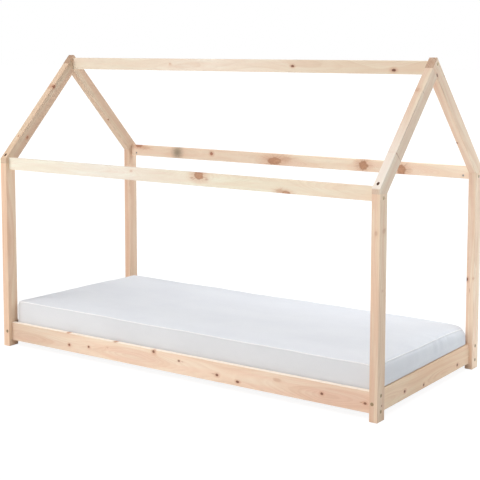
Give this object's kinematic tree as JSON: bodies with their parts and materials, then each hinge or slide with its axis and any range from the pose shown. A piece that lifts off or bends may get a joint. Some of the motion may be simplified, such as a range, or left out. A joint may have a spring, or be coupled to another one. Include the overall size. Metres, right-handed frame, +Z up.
{
  "type": "house frame bed",
  "caption": "Low pine bed frame shaped like a small house, with a bolted gable at each end, a ridge, two eaves rails, a slatted base and a mattress.",
  "frame": {"origin": "on the floor, in the middle of the bed's footprint", "axes": "+Z up, +X along the bed towards the right-hand gable, +Y towards the back; the camera stands at the front right"},
  "size_m": [2.081, 0.985, 1.431],
  "materials": {
    "pine": "planed and sanded, unvarnished, with knots",
    "slat_pine": "planed, unvarnished",
    "mattress_cover": "soft knitted cover, matt",
    "bolt_yellow_zinc": "yellow zinc plated",
    "nut_steel": "zinc plated",
    "dowel_beech": "plain, grooved beech",
    "screw_zinc": "zinc plated"
  },
  "bodies": {
    "root": {"post_front_left": "pine", "post_front_right": "pine", "post_back_left": "pine", "post_back_right": "pine", "rafter_front_left": "pine", "rafter_front_right": "pine", "rafter_back_left": "pine", "rafter_back_right": "pine", "ridge_beam": "pine", "eaves_rail_front": "pine", "eaves_rail_back": "pine", "side_rail_front": "pine", "side_rail_back": "pine", "end_rail_left": "pine", "end_rail_right": "pine", "slat_cleat_front": "slat_pine", "slat_cleat_back": "slat_pine", "slat_01": "slat_pine", "slat_02": "slat_pine", "slat_03": "slat_pine", "slat_04": "slat_pine", "slat_05": "slat_pine", "slat_06": "slat_pine", "slat_07": "slat_pine", "slat_08": "slat_pine", "slat_09": "slat_pine", "slat_10": "slat_pine", "slat_11": "slat_pine", "slat_12": "slat_pine", "slat_13": "slat_pine", "slat_14": "slat_pine", "mattress": "mattress_cover", "side_rail_bolts": "bolt_yellow_zinc", "end_rail_bolts": "bolt_yellow_zinc", "eaves_rail_bolts": "bolt_yellow_zinc", "ridge_bolts": "bolt_yellow_zinc", "side_rail_barrel_nuts": "nut_steel", "end_rail_barrel_nuts": "nut_steel", "eaves_rail_barrel_nuts": "nut_steel", "ridge_barrel_nuts": "nut_steel", "end_rail_dowels": "dowel_beech", "eaves_rail_dowels": "dowel_beech", "rafter_foot_dowels": "dowel_beech", "ridge_dowels": "dowel_beech", "rafter_foot_screws": "screw_zinc", "apex_screws": "screw_zinc", "cleat_screws": "screw_zinc", "slat_screws": "screw_zinc"}
  },
  "joints": []
}
